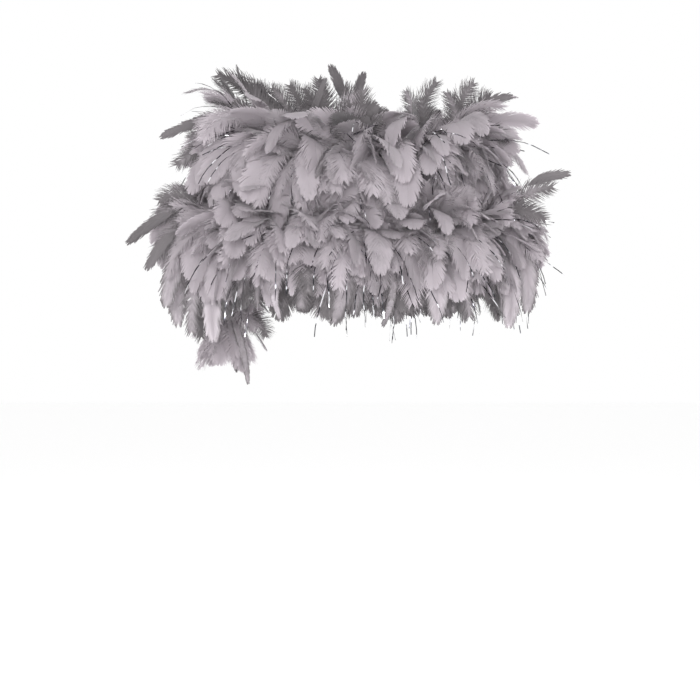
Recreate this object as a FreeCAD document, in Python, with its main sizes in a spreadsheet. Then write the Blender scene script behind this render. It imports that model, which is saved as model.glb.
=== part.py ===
import FreeCAD, Part
import math
import os

from FreeCAD import Placement, Rotation, Vector

# A feather boa wound twice round a wearer: a narrow turn at the neck, a wider one round the upper arms,
# and a tail that hangs free behind the wearer's right arm. The origin is the middle of the neck turn, at
# the height of the shoulders it rests on. -Y is the front, +X is to the right of someone who faces it,
# +Z is up. Millimetres.

doc = FreeCAD.newDocument("feather_boa")

# ---------------------------------------------------------------- driving dimensions

DRIVING = [
    ("core_diameter", 5.0),
    ("quill_start", 2.6),
    ("feather_thickness", 1.0),
    ("feather_width", 30.0),
    ("feather_long", 98.0),
    ("feather_middle", 86.0),
    ("feather_short", 72.0),
    ("droop_radius", 95.0),
    ("tinsel_width", 0.9),
    ("tinsel_thickness", 0.4),
    ("tinsel_length", 104.0),
    ("whipping_diameter", 7.0),
    ("whipping_length", 12.0),
    ("knot_diameter", 10.0),
    ("knot_length", 9.0),
    ("tuft_spacing", 50.0),
    ("upper_hinge_height", -146.0),
    ("lower_hinge_height", -174.0),
    ("tail_end_height", -206.0),
    ("hinge_gap", 2.0),
]
sheet = doc.addObject("Spreadsheet::Sheet", "sizes")
for row, (alias, value) in enumerate(DRIVING, start=1):
    sheet.set(f"A{row}", alias)
    sheet.set(f"B{row}", str(value))
    sheet.setAlias(f"B{row}", alias)
doc.recompute()


def size(alias):
    """The value of one driving dimension."""
    return float(getattr(sheet, alias))


# ---------------------------------------------------------------- the route of the core cord

# From end A, on top of the neck turn, to the point under which the tail hangs.
WOUND_ROUTE = [
    (90, 31, 22),
    (72, 49, 20),
    (45, 62, 16),
    (-1, 72, 12),
    (-49, 68, 10),
    (-90, 51, 10),
    (-116, 25, 8),
    (-123, -6, 4),
    (-108, -36, -5),
    (-75, -59, -15),
    (-30, -71, -23),
    (18, -70, -24),
    (61, -55, -17),
    (90, -30, -8),
    (101, 0, -3),
    (94, 32, -6),
    (67, 61, -13),
    (22, 83, -22),
    (-31, 90, -33),
    (-84, 81, -46),
    (-126, 62, -60),
    (-151, 37, -72),
    (-164, 7, -82),
    (-160, -24, -90),
    (-141, -52, -97),
    (-110, -75, -102),
    (-69, -91, -105),
    (-23, -98, -108),
    (25, -95, -108),
    (69, -83, -105),
    (104, -63, -99),
    (129, -37, -94),
    (140, -7, -92),
    (136, 24, -92),
    (117, 52, -94),
    (86, 75, -97),
    (44, 91, -100),
    (-2, 98, -102),
    (-50, 95, -104),
    (-94, 83, -106),
    (-128, 63, -108),
    (-149, 44, -113),
    (-157, 35, -130),
    (-157, 35, -145),
]
TAIL_X = WOUND_ROUTE[-1][0]
TAIL_Y = WOUND_ROUTE[-1][1]
RUN_SHARE = 0.45
SMALLEST_RADIUS = 3 * size("core_diameter")


def rounded_path(points):
    """The edges and radii of straight runs joined by tangent arcs, each as large as its runs allow."""
    corners = [Vector(*point) for point in points]
    edges = []
    radii = []
    start = corners[0]
    for before, corner, after in zip(corners, corners[1:], corners[2:]):
        back = before - corner
        ahead = after - corner
        setback = RUN_SHARE * min(back.Length, ahead.Length)
        half_turn = (math.pi - back.getAngle(ahead)) / 2
        radius = setback / math.tan(half_turn)
        back.normalize()
        ahead.normalize()
        first = corner + back * setback
        last = corner + ahead * setback
        inward = back + ahead
        inward.normalize()
        middle = corner + inward * (math.hypot(radius, setback) - radius)
        edges.append(Part.LineSegment(start, first).toShape())
        edges.append(Part.Arc(first, middle, last).toShape())
        radii.append(radius)
        start = last
    edges.append(Part.LineSegment(start, corners[-1]).toShape())
    return edges, radii


def station(edges, distance):
    """The point and the direction of travel at a distance along a chain of edges."""
    for edge in edges:
        if distance <= edge.Length:
            parameter = edge.getParameterByLength(distance)
            return edge.valueAt(parameter), edge.tangentAt(parameter)
        distance -= edge.Length
    return edges[-1].valueAt(edges[-1].LastParameter), edges[-1].tangentAt(edges[-1].LastParameter)


WOUND_END = (TAIL_X, TAIL_Y, size("upper_hinge_height") + size("hinge_gap") / 2)
wound_edges, wound_radii = rounded_path(WOUND_ROUTE[:-1] + [WOUND_END])
wound_length = sum(edge.Length for edge in wound_edges)

# ---------------------------------------------------------------- plain objects for the kept parts


def bind(thing, **expressions):
    """Binds an object's properties to expressions on the sheet. A double underscore stands for a dot."""
    for name, expression in expressions.items():
        thing.setExpression(name.replace("__", "."), expression)
    return thing


def add(kind, name, **expressions):
    return bind(doc.addObject(kind, name), **expressions)


def drooping_strip(name, length, width, thickness):
    """A strip that leaves the origin along +X and bends down: a sector of a thin tube round +Y."""
    rings = []
    for side, sign in (("outer", "+"), ("inner", "-")):
        ring = add(
            "Part::Cylinder",
            f"{name}_{side}",
            Radius=f"sizes.droop_radius {sign} sizes.{thickness} / 2",
            Height=f"sizes.{width}",
            Angle=f"sizes.{length} / sizes.droop_radius * 180 / pi",
        )
        ring.Placement = Placement(Vector(), Rotation(Vector(1, 1, 1), -120))
        bind(
            ring,
            Placement__Base__x="sizes.quill_start",
            Placement__Base__y=f"-sizes.{width} / 2",
            Placement__Base__z="-sizes.droop_radius",
        )
        rings.append(ring)
    strip = doc.addObject("Part::Cut", f"{name}_strip")
    strip.Base, strip.Tool = rings
    return strip


# Where the quill and the tip cut the leaf outline's long axis, as shares of half its length.
OUTLINE_ROOT_SHARE = 0.985
OUTLINE_TIP_SHARE = 0.97
# How much larger a cutting solid is than what it cuts.
AMPLE = 2


def feather(name, length):
    """One feather: a drooping strip cut to a leaf outline, narrow at the quill and rounded at the tip."""
    strip = drooping_strip(name, length, "feather_width", "feather_thickness")
    reach = f"sizes.droop_radius * sin(sizes.{length} / sizes.droop_radius * 180 / pi)"
    half_length = f"{reach} / {OUTLINE_ROOT_SHARE + OUTLINE_TIP_SHARE}"
    outline = add(
        "Part::Ellipse", f"{name}_outline", MajorRadius=half_length, MinorRadius="sizes.feather_width / 2"
    )
    bind(outline, Placement__Base__x=f"sizes.quill_start + {OUTLINE_ROOT_SHARE} * {half_length}")
    prism = add(
        "Part::Extrusion",
        f"{name}_prism",
        LengthFwd=f"{AMPLE} * sizes.droop_radius",
        LengthRev="sizes.droop_radius",
    )
    prism.Base = outline
    prism.DirMode = "Custom"
    prism.Dir = Vector(0, 0, -1)
    prism.Solid = True
    leaf = doc.addObject("Part::Common", name)
    leaf.Base = strip
    leaf.Tool = prism
    return leaf


feathers = {
    "long": feather("feather_long_master", "feather_long"),
    "middle": feather("feather_middle_master", "feather_middle"),
    "short": feather("feather_short_master", "feather_short"),
}
tinsel_strand = drooping_strip("tinsel_master", "tinsel_length", "tinsel_width", "tinsel_thickness")
doc.recompute()
feather_shapes = {name: thing.Shape.Solids[0] for name, thing in feathers.items()}
tinsel_shape = tinsel_strand.Shape.Solids[0]

kept = []


def keep(thing, label):
    """Marks a document object as a sub-part: its label names its node and its file."""
    thing.Label = label
    kept.append(thing)
    return thing


def group(label, solids):
    """A sub-part of several separate solids, placed copies of the masters above."""
    thing = doc.addObject("Part::Feature", label)
    thing.Shape = Part.makeCompound(solids)
    thing.Placement = Placement()
    return keep(thing, label)


def placed(shape, origin, outward, across, upward):
    """A copy of a master whose own X, Y and Z lie along the three directions."""
    copy = shape.copy()
    copy.Placement = Placement(origin, Rotation(outward, across, upward, "XYZ"))
    return copy


# ---------------------------------------------------------------- the core cord, its whippings and knots


def cord_along(label, edges):
    """A round cord swept along a chain of edges."""
    spine = doc.addObject("Part::Feature", f"{label}_spine")
    spine.Shape = Part.Wire(edges)
    start, heading = station(edges, 0)
    section = add("Part::Circle", f"{label}_section", Radius="sizes.core_diameter / 2")
    section.Placement = Placement(start, Rotation(Vector(0, 0, 1), heading))
    sweep = doc.addObject("Part::Sweep", label)
    sweep.Sections = [section]
    sweep.Spine = (spine, [f"Edge{number}" for number in range(1, len(edges) + 1)])
    sweep.Solid = True
    sweep.Frenet = False
    return keep(sweep, label)


def upright_cord(label, top, bottom):
    """A straight cord of the tail, between two heights given as expressions."""
    cord = add("Part::Cylinder", label, Radius="sizes.core_diameter / 2", Height=f"({top}) - ({bottom})")
    cord.Placement = Placement(Vector(TAIL_X, TAIL_Y, 0), Rotation())
    bind(cord, Placement__Base__z=bottom)
    return keep(cord, label)


def whipping(label, start, heading):
    """The thread wound round the cord next to its end: a sleeve that fits the cord."""
    turns = add("Part::Cylinder", f"{label}_turns", Radius="sizes.whipping_diameter / 2")
    bore = add("Part::Cylinder", f"{label}_bore", Radius="sizes.core_diameter / 2")
    for part in (turns, bore):
        bind(part, Height="sizes.whipping_length")
    sleeve = doc.addObject("Part::Cut", label)
    sleeve.Base = turns
    sleeve.Tool = bore
    sleeve.Placement = Placement(start, Rotation(Vector(0, 0, 1), heading))
    return keep(sleeve, label)


# The knot's ball is longer than the knot, because its near end is cut flat.
KNOT_BALL_SHARE = 1.2


def knot(label, start, heading):
    """The knot past the cord's end: a ball cut flat where it meets the cord."""
    ball = add(
        "Part::Ellipsoid",
        f"{label}_ball",
        Radius1=f"sizes.knot_length / 2 * {KNOT_BALL_SHARE}",
        Radius2="sizes.knot_diameter / 2",
        Radius3="sizes.knot_diameter / 2",
        Placement__Base__z="sizes.knot_length / 2",
    )
    room = add(
        "Part::Box",
        f"{label}_room",
        Length=f"{AMPLE} * sizes.knot_diameter",
        Width=f"{AMPLE} * sizes.knot_diameter",
        Height=f"{AMPLE} * sizes.knot_length",
        Placement__Base__x=f"-{AMPLE} * sizes.knot_diameter / 2",
        Placement__Base__y=f"-{AMPLE} * sizes.knot_diameter / 2",
    )
    shape = doc.addObject("Part::Common", label)
    shape.Base = ball
    shape.Tool = room
    shape.Placement = Placement(start, Rotation(Vector(0, 0, 1), heading))
    return keep(shape, label)


core = cord_along("core_cord", wound_edges)
upright_cord(
    "tail_cord_upper",
    "sizes.upper_hinge_height - sizes.hinge_gap / 2",
    "sizes.lower_hinge_height + sizes.hinge_gap / 2",
)
upright_cord("tail_cord_lower", "sizes.lower_hinge_height - sizes.hinge_gap / 2", "sizes.tail_end_height")

end_a, along_a = station(wound_edges, 0)
whipping("end_whipping_a", end_a, along_a)
knot("end_knot_a", end_a, along_a * -1)
down = Vector(0, 0, -1)
end_b = Vector(TAIL_X, TAIL_Y, size("tail_end_height"))
whipping("end_whipping_b", end_b - down * size("whipping_length"), down)
knot("end_knot_b", end_b, down)

# ---------------------------------------------------------------- tufts of the wound stretch

ROWS = 6
# Neighbours along the cord sit in rows far apart, so that broad vanes never meet.
ROW_ORDER = [0, 3, 1, 4, 2, 5]
MARGIN = 22.0

# Each stretch: its name, where it ends along the cord, and its feathers' lengths from the highest row down.
STRETCHES = [
    ("end_tuft", 165, ["middle"] * ROWS),
    ("neck_tuft", 565, ["middle", "middle", "long", "long", "long", "long"]),
    ("cross_tuft", 822, ["middle", "middle", "long", "long", "long", "long"]),
    ("side_tuft", 970, ["short", "short", "middle", "middle", "middle", "middle"]),
    ("arm_tuft", 1572, ["short", "short", "middle", "middle", "long", "long"]),
    ("last_tuft", 2000, ["short"] * ROWS),
]

# The fan of feathers: a distance along the cord, then the tilt above level of the highest and of the lowest
# row. Where two passes of the boa lie over each other the fans are narrow, and above the tail they turn up.
# A distance that stands twice is a jump from one tuft to the next.
FAN = [
    (0, 74, 32),
    (150, 76, 28),
    (230, 78, 4),
    (490, 76, 2),
    (560, 28, -10),
    (822, 24, -12),
    (822, 50, 4),
    (930, 50, 4),
    (1000, 40, -50),
    (1300, 38, -50),
    (1400, 2, -58),
    (1572, 0, -58),
    (1572, 4, -38),
    (1700, 4, -38),
]


def stretch_at(distance):
    return next(stretch for stretch in STRETCHES if distance <= stretch[1])


def fan_at(distance):
    """The tilts above level of the highest and of the lowest row, in degrees."""
    for (start, start_high, start_low), (end, end_high, end_low) in zip(FAN, FAN[1:]):
        if distance <= end:
            share = (distance - start) / (end - start)
            return start_high + (end_high - start_high) * share, start_low + (end_low - start_low) * share
    raise ValueError(f"the fan ends before {distance}")


def tilt_at(distance, row):
    """The tilt above level of a feather of that row, in degrees."""
    highest, lowest = fan_at(distance)
    return highest + (lowest - highest) * row / (ROWS - 1)


def wound_frame(distance):
    """At a distance along the cord: the point, the way along, the way out from the wearer and the way up."""
    point, along = station(wound_edges, distance)
    out = along.cross(Vector(0, 0, 1))
    out.normalize()
    return point, along, out, out.cross(along)


def leaning(shape, distance, tilt):
    """A master placed on the wound cord, leaving it at a tilt above level."""
    point, along, out, up = wound_frame(distance)
    angle = math.radians(tilt)
    outward = out * math.cos(angle) + up * math.sin(angle)
    upward = up * math.cos(angle) - out * math.sin(angle)
    return placed(shape, point, outward, along, upward)


LAST_FEATHER = 1625.0
tuft_count = int((LAST_FEATHER - MARGIN) / size("tuft_spacing"))
for tuft in range(tuft_count):
    name, _, lengths = stretch_at(MARGIN + (tuft + 0.5) * size("tuft_spacing"))
    solids = []
    for place, row in enumerate(ROW_ORDER):
        distance = MARGIN + (tuft + (place + 0.5) / ROWS) * size("tuft_spacing")
        solids.append(leaning(feather_shapes[lengths[row]], distance, tilt_at(distance, row)))
    group(f"{name}_{tuft + 1:02d}", solids)

# ---------------------------------------------------------------- tinsel

# A pair of strands at the start of each tuft whose fan has the room, in rows that its feathers leave free.
FREE_ROWS = (1, 4)
WIDE_FAN = 58.0
PAIRS_IN_BUNDLE = 3
pairs = []
for tuft in range(tuft_count):
    distance = MARGIN + tuft * size("tuft_spacing")
    highest, lowest = fan_at(distance)
    if highest - lowest > WIDE_FAN:
        pairs.append([leaning(tinsel_shape, distance, tilt_at(distance, row)) for row in FREE_ROWS])
for bundle, first in enumerate(range(0, len(pairs), PAIRS_IN_BUNDLE)):
    group(f"tinsel_{bundle + 1:02d}", sum(pairs[first : first + PAIRS_IN_BUNDLE], []))

# ---------------------------------------------------------------- tufts of the tail


def hanging(shape, height, azimuth, dip):
    """A master placed on the upright tail, leaving it at a dip below level."""
    turn = math.radians(azimuth)
    angle = math.radians(dip)
    level = Vector(math.cos(turn), math.sin(turn), 0)
    upright = Vector(0, 0, 1)
    outward = level * math.cos(angle) - upright * math.sin(angle)
    upward = level * math.sin(angle) + upright * math.cos(angle)
    clear = size("quill_start") * (1 - math.cos(angle)) + size("feather_thickness") / 2 * math.sin(angle)
    root = Vector(TAIL_X, TAIL_Y, height) + level * clear
    return placed(shape, root, outward, upright.cross(level), upward)


# Each tail tuft: name, feather length, how many, its top, the drop from one feather to the next, and the dip.
# Feathers alternate between opposite sides, so that the tail balances and hangs plumb.
TAIL_TUFTS = [
    ("tail_tuft_upper", "short", 4, -150.5, 6.0, 6.0),
    ("tail_tuft_lower", "middle", 4, -178.0, 4.0, 46.0),
]
FIRST_AZIMUTH = 45.0
for name, length, count, top, drop, dip in TAIL_TUFTS:
    solids = []
    for number in range(count):
        azimuth = FIRST_AZIMUTH + 180 * (number % 2) + 360 / count * (number // 2)
        solids.append(hanging(feather_shapes[length], top - drop * number, azimuth, dip))
    group(name, solids)

# ---------------------------------------------------------------- check and write

doc.recompute()
faults = [thing.Name for thing in doc.Objects if {"Invalid", "Error"} & set(thing.State)]
if faults:
    raise RuntimeError(f"failed objects: {faults}")
for thing in kept:
    if thing.Shape.isNull() or not thing.Shape.isValid():
        raise RuntimeError(f"bad shape: {thing.Label}")

os.makedirs("parts", exist_ok=True)
for thing in kept:
    thing.Shape.exportStep(f"parts/{thing.Label}.step")

tail_length = size("upper_hinge_height") - size("tail_end_height")
section_area = math.pi * size("core_diameter") ** 2 / 4
print(f"{len(kept)} sub-parts, {sum(len(thing.Shape.Solids) for thing in kept)} solids")
print(f"volume {sum(thing.Shape.Volume for thing in kept) / 1e6:.3f} litres")
print(f"core cord: wound {wound_length:.0f} mm, tail {tail_length:.0f} mm")
print(f"wound cord: volume {core.Shape.Volume:.0f}, expected {section_area * wound_length:.0f} mm3")
print("radii:", " ".join(f"{radius:.0f}" for radius in wound_radii), f"(at least {SMALLEST_RADIUS:.0f})")
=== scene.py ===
import math

import bpy
import numpy as np
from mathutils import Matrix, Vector


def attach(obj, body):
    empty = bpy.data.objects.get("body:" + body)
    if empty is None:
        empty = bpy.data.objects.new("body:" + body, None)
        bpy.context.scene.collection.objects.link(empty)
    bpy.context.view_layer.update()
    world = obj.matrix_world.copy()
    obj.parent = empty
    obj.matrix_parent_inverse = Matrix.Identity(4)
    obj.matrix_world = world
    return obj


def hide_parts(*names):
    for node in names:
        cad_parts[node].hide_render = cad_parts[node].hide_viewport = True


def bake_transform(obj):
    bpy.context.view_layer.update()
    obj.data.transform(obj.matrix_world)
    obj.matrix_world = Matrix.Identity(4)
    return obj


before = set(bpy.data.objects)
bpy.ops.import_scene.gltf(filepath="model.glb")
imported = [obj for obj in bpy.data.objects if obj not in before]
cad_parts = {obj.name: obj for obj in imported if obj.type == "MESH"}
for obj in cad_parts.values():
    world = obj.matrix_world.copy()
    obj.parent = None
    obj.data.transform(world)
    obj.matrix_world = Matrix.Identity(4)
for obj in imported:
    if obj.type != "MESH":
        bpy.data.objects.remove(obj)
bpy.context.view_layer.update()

# A lavender-grey feather boa wound twice round a wearer who isn't shown. Metres; -Y is the front and +Z
# is up, as in the CAD. Every feather is a bent quill with barbs of its own, and there is one mesh for
# each CAD tuft.

# ---- camera

CAMERA_PLACE = (-0.014, -2.3, -0.23)
PICTURE_WIDTH = 0.805

camera_data = bpy.data.cameras.new("camera")
camera_data.sensor_width = 36.0
camera_data.lens = camera_data.sensor_width * -CAMERA_PLACE[1] / PICTURE_WIDTH
camera = bpy.data.objects.new("camera", camera_data)
camera.location = CAMERA_PLACE
camera.rotation_euler = (math.radians(90), 0, 0)
bpy.context.scene.collection.objects.link(camera)
bpy.context.scene.camera = camera

# ---- mesh building

DOWN = np.array([0.0, 0.0, -1.0])
UP = -DOWN
# Two points of a line that are nearer than this count as one.
LEAST_GAP = 1e-7
# A tube's radius at its closed ends, as a share of its own.
CLOSED_END = 0.02
# A line whose square direction is shorter than this runs nearly straight up.
NEARLY_UPRIGHT = 0.1


def unit(vectors):
    return vectors / np.linalg.norm(vectors, axis=-1, keepdims=True)


def mesh_object(name, parts, material):
    """One object of several (vertices, quads, look) parts. Look is a colour that the material reads."""
    vertices = np.concatenate([part[0] for part in parts])
    look = np.concatenate([part[2] for part in parts])
    starts = np.cumsum([0] + [len(part[0]) for part in parts[:-1]])
    quads = np.concatenate([part[1] + start for part, start in zip(parts, starts)])
    mesh = bpy.data.meshes.new(name)
    mesh.vertices.add(len(vertices))
    mesh.vertices.foreach_set("co", vertices.astype(np.float32).ravel())
    mesh.loops.add(quads.size)
    mesh.loops.foreach_set("vertex_index", quads.astype(np.int32).ravel())
    mesh.polygons.add(len(quads))
    mesh.polygons.foreach_set("loop_start", np.arange(0, quads.size, 4, dtype=np.int32))
    mesh.polygons.foreach_set("use_smooth", np.ones(len(quads), bool))
    attribute = mesh.attributes.new("look", "FLOAT_COLOR", "POINT")
    attribute.data.foreach_set("color", look.astype(np.float32).ravel())
    mesh.update(calc_edges=True)
    mesh.validate()
    mesh.materials.append(material)
    thing = bpy.data.objects.new(name, mesh)
    bpy.context.scene.collection.objects.link(thing)
    return thing


def grid_quads(strips, rows, columns, closed=False):
    """Quads over grids of vertices, numbered strip by strip and row by row. A closed grid goes round."""
    across = columns if closed else columns - 1
    strip = np.arange(strips)[:, None, None] * rows * columns
    row = np.arange(rows - 1)[None, :, None] * columns
    column = np.arange(across)[None, None, :]
    following = (column + 1) % columns
    corners = [strip + row + column, strip + row + following]
    corners += [corners[1] + columns, corners[0] + columns]
    return np.stack(np.broadcast_arrays(*corners), axis=-1).reshape(-1, 4)


def carried_frames(points):
    """The headings along a line, and two directions square to them that turn as little as they can."""
    headings = unit(np.gradient(points, axis=0))
    side = np.cross(headings[0], UP)
    if np.linalg.norm(side) < NEARLY_UPRIGHT:
        side = np.cross(headings[0], [1.0, 0.0, 0.0])
    sides = []
    for heading in headings:
        side = unit(side - side @ heading * heading)
        sides.append(side)
    sides = np.array(sides)
    return headings, sides, np.cross(headings, sides)


def tube(points, radius, sides, look):
    """A round tube along a line, closed at its ends by rings that shrink to nothing."""
    points = np.concatenate([points[:1], points, points[-1:]])
    spread = np.full(len(points), radius)
    spread[[0, -1]] = radius * CLOSED_END
    _, across, over = carried_frames(points + np.linspace(0, LEAST_GAP, len(points))[:, None])
    turn = np.arange(sides) * 2 * math.pi / sides
    ring = np.cos(turn)[None, :, None] * across[:, None] + np.sin(turn)[None, :, None] * over[:, None]
    vertices = (points[:, None] + spread[:, None, None] * ring).reshape(-1, 3)
    return vertices, grid_quads(1, len(points), sides, closed=True), np.tile(look, (len(vertices), 1))


def twisted_cord(line, strand_radius, offset, pitch, sides=8):
    """Three strands laid round a line."""
    _, across, over = carried_frames(line)
    travelled = np.concatenate([[0], np.cumsum(np.linalg.norm(np.diff(line, axis=0), axis=1))])
    parts = []
    for strand in range(3):
        turn = 2 * math.pi * (travelled / pitch + strand / 3)
        helix = line + offset * (np.cos(turn)[:, None] * across + np.sin(turn)[:, None] * over)
        parts.append(tube(helix, strand_radius, sides, (strand / 3, 0.5, 0.5, 1)))
    return parts


# ---- the core cord's line

# The route of part.py, in metres, from end A on top of the neck turn, with the tail's lower end added.
ROUTE = [
    (0.090, 0.031, 0.022),
    (0.072, 0.049, 0.020),
    (0.045, 0.062, 0.016),
    (-0.001, 0.072, 0.012),
    (-0.049, 0.068, 0.010),
    (-0.090, 0.051, 0.010),
    (-0.116, 0.025, 0.008),
    (-0.123, -0.006, 0.004),
    (-0.108, -0.036, -0.005),
    (-0.075, -0.059, -0.015),
    (-0.030, -0.071, -0.023),
    (0.018, -0.070, -0.024),
    (0.061, -0.055, -0.017),
    (0.090, -0.030, -0.008),
    (0.101, 0.000, -0.003),
    (0.094, 0.032, -0.006),
    (0.067, 0.061, -0.013),
    (0.022, 0.083, -0.022),
    (-0.031, 0.090, -0.033),
    (-0.084, 0.081, -0.046),
    (-0.126, 0.062, -0.060),
    (-0.151, 0.037, -0.072),
    (-0.164, 0.007, -0.082),
    (-0.160, -0.024, -0.090),
    (-0.141, -0.052, -0.097),
    (-0.110, -0.075, -0.102),
    (-0.069, -0.091, -0.105),
    (-0.023, -0.098, -0.108),
    (0.025, -0.095, -0.108),
    (0.069, -0.083, -0.105),
    (0.104, -0.063, -0.099),
    (0.129, -0.037, -0.094),
    (0.140, -0.007, -0.092),
    (0.136, 0.024, -0.092),
    (0.117, 0.052, -0.094),
    (0.086, 0.075, -0.097),
    (0.044, 0.091, -0.100),
    (-0.002, 0.098, -0.102),
    (-0.050, 0.095, -0.104),
    (-0.094, 0.083, -0.106),
    (-0.128, 0.063, -0.108),
    (-0.149, 0.044, -0.113),
    (-0.157, 0.035, -0.130),
    (-0.157, 0.035, -0.145),
    (-0.157, 0.035, -0.206),
]
CORE_DIAMETER = 0.005


def points_on_spline(route):
    """The points of the smooth NURBS line that has the route's points as its control points."""
    curve = bpy.data.curves.new("route", "CURVE")
    curve.dimensions = "3D"
    spline = curve.splines.new("NURBS")
    spline.points.add(len(route) - 1)
    for point, place in zip(spline.points, route):
        point.co = (*place, 1.0)
    spline.order_u = 3
    spline.use_endpoint_u = True
    spline.resolution_u = 12
    holder = bpy.data.objects.new("route", curve)
    bpy.context.scene.collection.objects.link(holder)
    mesh = bpy.data.meshes.new_from_object(holder)
    points = np.array([vertex.co for vertex in mesh.vertices], float)
    bpy.data.objects.remove(holder)
    bpy.data.curves.remove(curve)
    bpy.data.meshes.remove(mesh)
    apart = np.linalg.norm(np.diff(points, axis=0), axis=1) > LEAST_GAP
    return points[np.concatenate([[True], apart])]


core_points = points_on_spline(ROUTE)
core_travelled = np.concatenate([[0], np.cumsum(np.linalg.norm(np.diff(core_points, axis=0), axis=1))])
core_headings = unit(np.gradient(core_points, axis=0))
CORE_LENGTH = core_travelled[-1]


def on_core(distance):
    """The place and the heading at a distance along the core cord."""
    place = np.array([np.interp(distance, core_travelled, core_points[:, axis]) for axis in range(3)])
    heading = np.array([np.interp(distance, core_travelled, core_headings[:, axis]) for axis in range(3)])
    return place, unit(heading)


def core_stretch(start, end, spacing=0.0012):
    """Evenly spaced points of the core cord between two distances, in either direction."""
    count = max(2, round(abs(end - start) / spacing))
    return np.array([on_core(distance)[0] for distance in np.linspace(start, end, count)])


def core_at_height(height):
    """The distance along the core cord of a height on its upright tail."""
    return CORE_LENGTH - (height - ROUTE[-1][2])


# ---- materials


def add_node(tree, kind, settings=None, **inputs):
    """A node with settings and inputs, which are values or other nodes' outputs. n0 is input number 0."""
    made = tree.nodes.new(kind)
    for name, value in (settings or {}).items():
        setattr(made, name, value)
    for name, value in inputs.items():
        numbered = name[0] == "n" and name[1:].isdigit()
        socket = made.inputs[int(name[1:]) if numbered else name.replace("_", " ")]
        if isinstance(value, bpy.types.NodeSocket):
            tree.links.new(value, socket)
        else:
            socket.default_value = value
    return made


def calculate(tree, operation, first, second):
    return add_node(tree, "ShaderNodeMath", {"operation": operation}, n0=first, n1=second).outputs[0]


def varied(tree, factor, least, more):
    """The least value, plus more of it as the factor rises to 1."""
    return calculate(tree, "ADD", calculate(tree, "MULTIPLY", factor, more), least)


def ramp(tree, factor, stops):
    """A colour ramp. Each stop is its place and its colour."""
    made = add_node(tree, "ShaderNodeValToRGB", Fac=factor)
    elements = made.color_ramp.elements
    while len(elements) < len(stops):
        elements.new(0.5)
    for element, (place, colour) in zip(elements, stops):
        element.position = place
        element.color = (*colour, 1.0)
    return made.outputs["Color"]


def new_material(name):
    material = bpy.data.materials.new(name)
    material.use_nodes = True
    material.node_tree.nodes.clear()
    return material, material.node_tree


def read_look(tree):
    """The four channels of the look attribute."""
    look = add_node(tree, "ShaderNodeAttribute", {"attribute_name": "look"})
    channels = add_node(tree, "ShaderNodeSeparateColor", Color=look.outputs["Color"])
    return *(channels.outputs[name] for name in ("Red", "Green", "Blue")), look.outputs["Alpha"]


def finish_material(tree, shader):
    output = add_node(tree, "ShaderNodeOutputMaterial")
    tree.links.new(shader, output.inputs["Surface"])


# The darkest stop is mostly reached through painted shade, at the barbs' tips and on the outline's feathers.
FEATHER_SHADE = (0.105, 0.096, 0.101)
FEATHER_MIDDLE = (0.460, 0.421, 0.450)
FEATHER_LIGHT = (0.500, 0.459, 0.490)
FEATHER_STOPS = [(0.02, FEATHER_SHADE), (0.42, FEATHER_MIDDLE), (0.85, FEATHER_LIGHT)]
FEATHER_TRANSLUCENCE = 0.56
# How fast the streaks change along the quill, from one feather's tone to another's, and out along a barb.
STREAKS_ALONG, STREAKS_BY_TONE, STREAKS_OUTWARD = 46.0, 91.0, 1.5
# What the feather's tone, its streaks and its mottling each add to its lightness.
TONE_SHARE, STREAK_SHARE, MOTTLING_SHARE = 0.42, 0.42, 0.30
# How much lightness and how much translucence a tip in full painted shade loses.
SHADE_DARKENS, PAINTED_SHADE_DIMS_TRANSLUCENCE = 0.55, 0.5


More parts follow.
